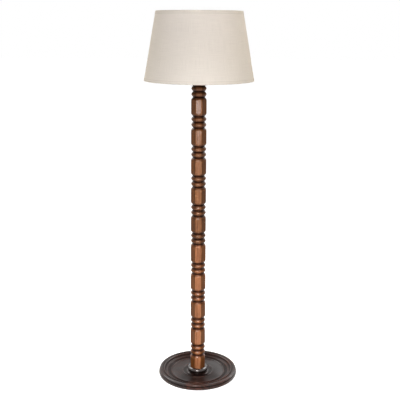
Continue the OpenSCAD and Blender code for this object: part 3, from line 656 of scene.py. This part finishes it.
def linen_look(name, tone, hem_shadows=()):
    """Plain woven linen laid round the shade: warp up it, weft round it, with slubs. A hem is a pressed
    edge at a height, darkened over its width by a painted shadow of the tape's edge."""
    look = Look(name)
    z = look.axes()[2]
    round_it = look.calc("MULTIPLY", look.angle(), 0.2)
    joined = look.node("ShaderNodeCombineXYZ")
    look.feed(joined.inputs["X"], round_it)
    look.feed(joined.inputs["Y"], z)
    cloth = joined.outputs[0]
    pitch, wander = 0.0009, 0.0012

    def threads(across, wander_scale):
        wandered = look.calc("MULTIPLY_ADD", look.noise(cloth, wander_scale, 2.0, 0.5), wander, across)
        return look.calc("SINE", look.calc("MULTIPLY", wandered, 2 * math.pi / pitch))

    def slubs(scale):
        return look.calc("MULTIPLY", look.noise(look.stretch(scale, of=cloth), 1.0, 3.0, 0.6), 0.5)

    weave = look.calc("MULTIPLY", threads(round_it, 25.0), threads(z, 31.0))
    weave = look.calc("MULTIPLY_ADD", weave, 0.5, 0.5)
    thick = look.calc("ADD", slubs((14, 900, 1)), slubs((900, 14, 1)))
    darker = dimmed(tone, 0.88)
    colour = look.ramp(thick, (0.34, darker), (0.52, tone), (0.68, dimmed(tone, 1.03)))
    colour = look.mix(look.calc("MULTIPLY", weave, 0.10), colour, darker)
    # Painted shadow of the tape's edge: a darker band at each hem.
    for middle, width in hem_shadows:
        colour = look.mix(look.calc("COMPARE", z, middle, width / 2), colour, darker)
    height = look.calc("ADD", look.calc("MULTIPLY", weave, 0.5), thick)
    look.set(Base_Color=colour, Roughness=0.92, Specular_IOR_Level=0.15,
             Sheen_Weight=0.5, Sheen_Roughness=0.45, Sheen_Tint=(1.0, 0.90, 0.74, 1),
             Normal=look.bump(height, 0.00025, 0.55))
    return look.material


def metal_look(name, tone, rough, screw=None):
    """Polished or plated metal, a little uneven. screw gives the heights, radius and pitch of a screw
    thread."""
    look = Look(name)
    spots = 0.35
    cloud = look.noise(look.stretch((60, 60, 60)), 1.0, 5.0, 0.6)
    fine = look.noise(look.stretch((900, 900, 900)), 1.0, 2.0)
    normal = look.bump(fine, 0.00003, 0.4)
    if screw:
        low, high, radius, pitch = screw
        z = look.axes()[2]
        turn = look.calc("DIVIDE", look.angle(), 2 * math.pi)
        along = look.calc("MULTIPLY_ADD", z, 1 / pitch, turn)
        wave = look.calc("SINE", look.calc("MULTIPLY", along, 2 * math.pi))
        on_neck = look.calc("COMPARE", z, (low + high) / 2, (high - low) / 2)
        on_neck = look.calc("MULTIPLY", on_neck, look.calc("COMPARE", look.radius(), radius, 0.0004))
        normal = look.bump(look.calc("MULTIPLY", wave, on_neck), 0.0003, 1.0, normal)
    look.set(Base_Color=look.ramp(cloud, (0.35, dimmed(tone, 1 - spots)), (0.6, tone)), Metallic=1.0,
             Roughness=look.ramp(cloud, (0.3, rough + 0.12), (0.7, rough)), Normal=normal)
    return look.material


def brass_look(name, screw=None):
    return metal_look(name, srgb(186, 146, 80), 0.27, screw)


def plain_look(name, tone, rough, fleck=0.06, scale=300, bump=0.00003, **more):
    """A moulded, painted or glazed surface with a fine unevenness."""
    look = Look(name)
    fine = look.noise(look.stretch((scale, scale, scale)), 1.0, 3.0)
    look.set(Base_Color=look.ramp(fine, (0.35, dimmed(tone, 1 - fleck)), (0.65, tone)),
             Roughness=look.ramp(fine, (0.3, rough * 0.9), (0.7, min(1.0, rough * 1.1))),
             Normal=look.bump(fine, bump, 0.5), **more)
    return look.material


def glass_look(name, tone, rough, clear):
    """Glass with a faint cloud. clear is how much light goes straight through."""
    look = Look(name)
    cloud = look.noise(look.stretch((30, 30, 30)), 1.0, 2.0)
    look.set(Base_Color=look.ramp(cloud, (0.3, dimmed(tone, 0.97)), (0.7, tone)), Roughness=rough,
             Transmission_Weight=clear, IOR=1.5)
    return look.material


def dress(piece, material):
    """Gives a piece one material. A CAD node's mesh keeps its shape."""
    piece.data.materials.clear()
    piece.data.materials.append(material)
    return piece


def soften(node, width):
    """Rounds a CAD node's edges with a modifier."""
    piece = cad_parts[node]
    bevel = piece.modifiers.new("soft_edges", "BEVEL")
    bevel.width = width
    bevel.segments = 2
    bevel.limit_method = "ANGLE"
    bevel.angle_limit = math.radians(30)
    bevel.harden_normals = True
    return piece


# ---------------------------------------------------------------- the object

def make_wood():
    """Both sections of the column, and the darker base."""
    lower_tones = (srgb(76, 44, 24), srgb(141, 87, 55), srgb(189, 126, 87))
    upper_tones = (srgb(62, 35, 17), srgb(112, 69, 39), srgb(148, 97, 59))
    dress(make_lower_column(), column_look("lower_oak", lower_tones))
    dress(make_upper_column(), column_look("upper_oak", upper_tones))
    dress(make_base(), base_look())


def make_shade():
    """The cover on its lining, the tapes folded over its rims, and the wire frame that holds it."""
    hem_w = 0.0022
    # Bands of painted shadow along the edges of the tapes.
    hem_shadows = ((SHADE_TOP - TAPE_W + hem_w / 2, hem_w), (SHADE_LOW + TAPE_W - hem_w / 2, hem_w))
    linen = linen_look("shade_linen", srgb(227, 220, 213))
    tape = linen_look("tape_linen", srgb(224, 217, 209), hem_shadows)
    lining = plain_look("styrene_lining", srgb(240, 235, 225), 0.7)
    wire = plain_look("white_paint", srgb(226, 223, 216), 0.4)

    cover_in, lining_in, lap = TAPE_T + COVER_T, TAPE_T + COVER_T + LINING_T, 0.0004
    cover = dress(shade_skin("linen_cover", TAPE_T, cover_in, "shade_cover", lap), linen)
    dress(shade_skin("shade_lining_skin", cover_in, lining_in, "shade_lining"), lining)
    top = dress(folded_tape("top_tape", SHADE_TOP, 1, "shade_top_tape"), tape)
    low = dress(folded_tape("bottom_tape", SHADE_LOW, -1, "shade_bottom_tape"), tape)
    for node in ("shade_fitting_ring", "shade_top_wire", "shade_bottom_wire"):
        dress(torus(node + "_round", node, "shade"), wire)

    ring_low, ring_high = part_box("shade_fitting_ring")
    wire_r = (ring_high.z - ring_low.z) / 2
    start_z = (ring_high.z + ring_low.z) / 2
    top_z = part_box("shade_top_wire")[0].z
    inset = lining_in + 0.0002 + wire_r
    middle = (start_z + top_z) / 2
    path = cubic([(ring_high.x, start_z), (shade_r(start_z, inset), start_z),
                  (shade_r(middle, inset), middle), (shade_r(top_z, inset), top_z)], 28)
    dress(wires("shade_arm_wires", "shade_arms", "shade", path, wire_r, 3, 150), wire)


def make_carrier(brass):
    """The collar on the lampholder's neck, and the bent arms that carry the gallery."""
    gallery_low, gallery_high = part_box("carrier_gallery")
    collar_low, collar_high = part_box("carrier_collar")
    foot = (collar_low.z + collar_high.z) / 2
    rise = gallery_low.z - foot
    arm_r, arm_inset, bow = 0.0018, 0.0035, 0.006
    side = gallery_high.x - arm_inset
    path = cubic([(collar_high.x, foot), (side + bow, foot),
                  (side, foot + 0.4 * rise), (side, gallery_low.z)], 32)
    dress(wires("carrier_arm_wires", "carrier_arms", "carrier", path, arm_r, 3, 90), brass)
    for node in ("carrier_collar", "carrier_gallery"):
        dress(soften(node, 0.0003), brass)


def make_bulb():
    """The pearl bulb: a sphere whose flank runs down to the neck in its cap."""
    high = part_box("bulb_glass")[1]
    radius = high.x
    centre = high.z - radius
    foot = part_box("bulb_cap")[1].z
    neck, wall = 0.010, 0.0008
    flare = radius * 0.42
    join = math.radians(20)
    shell = [(neck, foot - 0.003), (neck + 0.0002, foot)]
    shell += cubic([(flare, foot + 0.004), (flare + 0.004, foot + 0.016),
                    (radius * 0.86, centre - radius * 0.75),
                    (radius * math.cos(join), centre - radius * math.sin(join))], 20)
    shell += arc((0, centre), radius, radius, -18, 89.9, 48)
    inner = [(max(r - wall, 0.0), z - (wall if z > centre else 0)) for r, z in reversed(shell)]
    piece = revolve("bulb_globe", shell + [(0, high.z), (0, high.z - wall)] + inner, steps=96)
    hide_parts("bulb_glass")
    dress(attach(piece, "bulb"), glass_look("pearl_glass", srgb(246, 244, 238), 0.55, 0.35))
    alloy = metal_look("cap_alloy", srgb(200, 198, 192), 0.3)
    for node in ("bulb_cap", "bulb_pins", "bulb_contacts"):
        dress(soften(node, 0.0002), alloy)
    stem = glass_look("stem_glass", srgb(236, 238, 236), 0.08, 0.9)
    dress(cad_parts["bulb_filament"], stem)


def make_holder(brass):
    """The lampholder and the metal that clamps the lamp together. Its neck has a screw thread."""
    neck_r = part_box("bulb_pins")[1].y + 0.0002
    neck_low, neck_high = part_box("carrier_collar")[0].z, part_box("holder_body")[1].z - 0.0008
    screw_pitch = 0.0015
    threaded = brass_look("threaded_brass", (neck_low, neck_high, neck_r, screw_pitch))
    dress(soften("holder_body", 0.0003), threaded)
    for node in ("holder_dome", "holder_ring_nut", "holder_terminals", "contact_plungers",
                 "top_plate", "top_locknut"):
        dress(soften(node, 0.0003), brass)
    dress(soften("holder_core", 0.0004), plain_look("porcelain", srgb(236, 232, 222), 0.18))
    black = plain_look("black_moulding", srgb(28, 26, 25), 0.35)
    for node in ("switch_bar", "cable_bush"):
        dress(soften(node, 0.0002), black)
    steel = metal_look("zinc_plate", srgb(176, 178, 180), 0.35)
    make_springs(steel)
    for node in ("tie_tube", "base_washer", "base_nut", "ballast_screws"):
        dress(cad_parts[node], steel)


def make_underside():
    """The iron let into the base, and the baize that covers it."""
    cast_iron = plain_look("cast_iron", srgb(62, 62, 64), 0.75, 0.3, 220, 0.0002)
    dress(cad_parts["ballast_plate"], cast_iron)
    baize = plain_look("baize", srgb(36, 68, 46), 0.98, 0.25, 1400, 0.0002, Sheen_Weight=0.4)
    dress(make_baize(), baize)


# ---------------------------------------------------------------- camera, stage and light

def make_camera():
    camera = bpy.data.objects.new("photo_camera", bpy.data.cameras.new("photo_camera"))
    bpy.context.scene.collection.objects.link(camera)
    camera.data.lens = CAMERA_LENS
    camera.data.sensor_width = 36
    camera.data.clip_end = 60
    turn = Matrix.Rotation(math.pi / 2 - CAMERA_DOWN, 4, "X") @ Matrix.Rotation(CAMERA_ROLL, 4, "Z")
    camera.matrix_world = Matrix.Translation(CAMERA_PLACE) @ turn
    bpy.context.scene.camera = camera


def seen_rays(tree):
    """1 on rays from the camera and on those that shiny or clear surfaces send on, 0 on the others."""
    path = tree.nodes.new("ShaderNodeLightPath")
    seen = path.outputs["Is Camera Ray"]
    for ray in ("Is Glossy Ray", "Is Transmission Ray"):
        either = tree.nodes.new("ShaderNodeMath")
        either.operation = "MAXIMUM"
        tree.links.new(seen, either.inputs[0])
        tree.links.new(path.outputs[ray], either.inputs[1])
        seen = either.outputs[0]
    return seen


def make_floor():
    """A pale floor. It glows where it is seen, directly, mirrored or through glass, and nowhere else."""
    size = 30
    corners = [(-size, -size, 0), (size, -size, 0), (size, size, 0), (-size, size, 0)]
    mesh = bpy.data.meshes.new("floor")
    mesh.from_pydata(corners, [], [(0, 1, 2, 3)])
    floor = bpy.data.objects.new("floor", mesh)
    bpy.context.scene.collection.objects.link(floor)
    look = Look("floor_paper")
    glow = look.ramp(look.calc("DIVIDE", look.radius(), 5.0), (0.2, 0.8), (0.6, 1.0))
    look.set(Base_Color=srgb(232, 231, 229), Roughness=0.95, Specular_IOR_Level=0.0,
             Emission_Color=(1, 1, 1, 1),
             Emission_Strength=look.calc("MULTIPLY", seen_rays(look.tree), glow))
    mesh.materials.append(look.material)


def make_world():
    """A backdrop that is seen white, directly or mirrored, and lights the lamp faintly."""
    world = bpy.data.worlds.new("studio")
    bpy.context.scene.world = world
    world.use_nodes = True
    tree = world.node_tree
    background = next(n for n in tree.nodes if n.type == "BACKGROUND")
    level = tree.nodes.new("ShaderNodeMapRange")
    level.inputs["To Min"].default_value = 0.11
    level.inputs["To Max"].default_value = 1.0
    tree.links.new(seen_rays(tree), level.inputs["Value"])
    background.inputs["Color"].default_value = (1, 1, 1, 1)
    tree.links.new(level.outputs[0], background.inputs["Strength"])


def area_light(name, place, aim_z, size, power, tint, spread):
    """A rectangular lamp that points at the lamp's axis at a height."""
    data = bpy.data.lights.new(name, "AREA")
    data.shape = "RECTANGLE"
    data.size, data.size_y = size
    data.energy = power
    data.color = tint
    data.spread = math.radians(spread)
    light = bpy.data.objects.new(name, data)
    bpy.context.scene.collection.objects.link(light)
    light.location = place
    light.rotation_euler = (Vector((0, 0, aim_z)) - Vector(place)).to_track_quat("-Z", "Y").to_euler()


def make_light():
    """A softbox in front, two behind, and small panels for the column, the shade and the foot."""
    white = (1.0, 0.99, 0.98)
    area_light("front_softbox", (-0.30, -3.3, 2.2), 0.8, (1.6, 1.0), 50, white, 180)
    area_light("low_panel", (-0.12, -3.0, 0.92), 1.00, (0.3, 0.4), 0.5, (1.0, 0.99, 1.0), 27)
    area_light("shade_front", (0, -3.2, 2.3), 1.85, (0.8, 0.5), 0.5, (1.0, 0.98, 0.98), 16)
    area_light("foot_fill", (-0.20, -2.0, 1.9), 0.25, (0.7, 0.5), 3.8, white, 46)
    area_light("shade_side_right", (1.6, -0.9, 1.50), 1.49, (0.5, 0.4), 0.7, (1.0, 0.90, 0.72), 45)
    area_light("back_right", (1.8, 2.3, 3.0), 0.8, (1.6, 1.4), 40, white, 180)
    area_light("back_left", (-1.8, 2.3, 3.0), 0.8, (1.6, 1.4), 40, white, 180)
    area_light("shade_side_left", (-1.6, -0.9, 1.50), 1.49, (0.5, 0.4), 0.35, (1.0, 0.90, 0.70), 45)


lacquered = brass_look("lacquered_brass")
make_wood()
make_shade()
make_carrier(lacquered)
make_bulb()
make_holder(lacquered)
make_underside()

make_camera()
make_floor()
make_world()
make_light()

bpy.context.scene.view_settings.view_transform = "Standard"
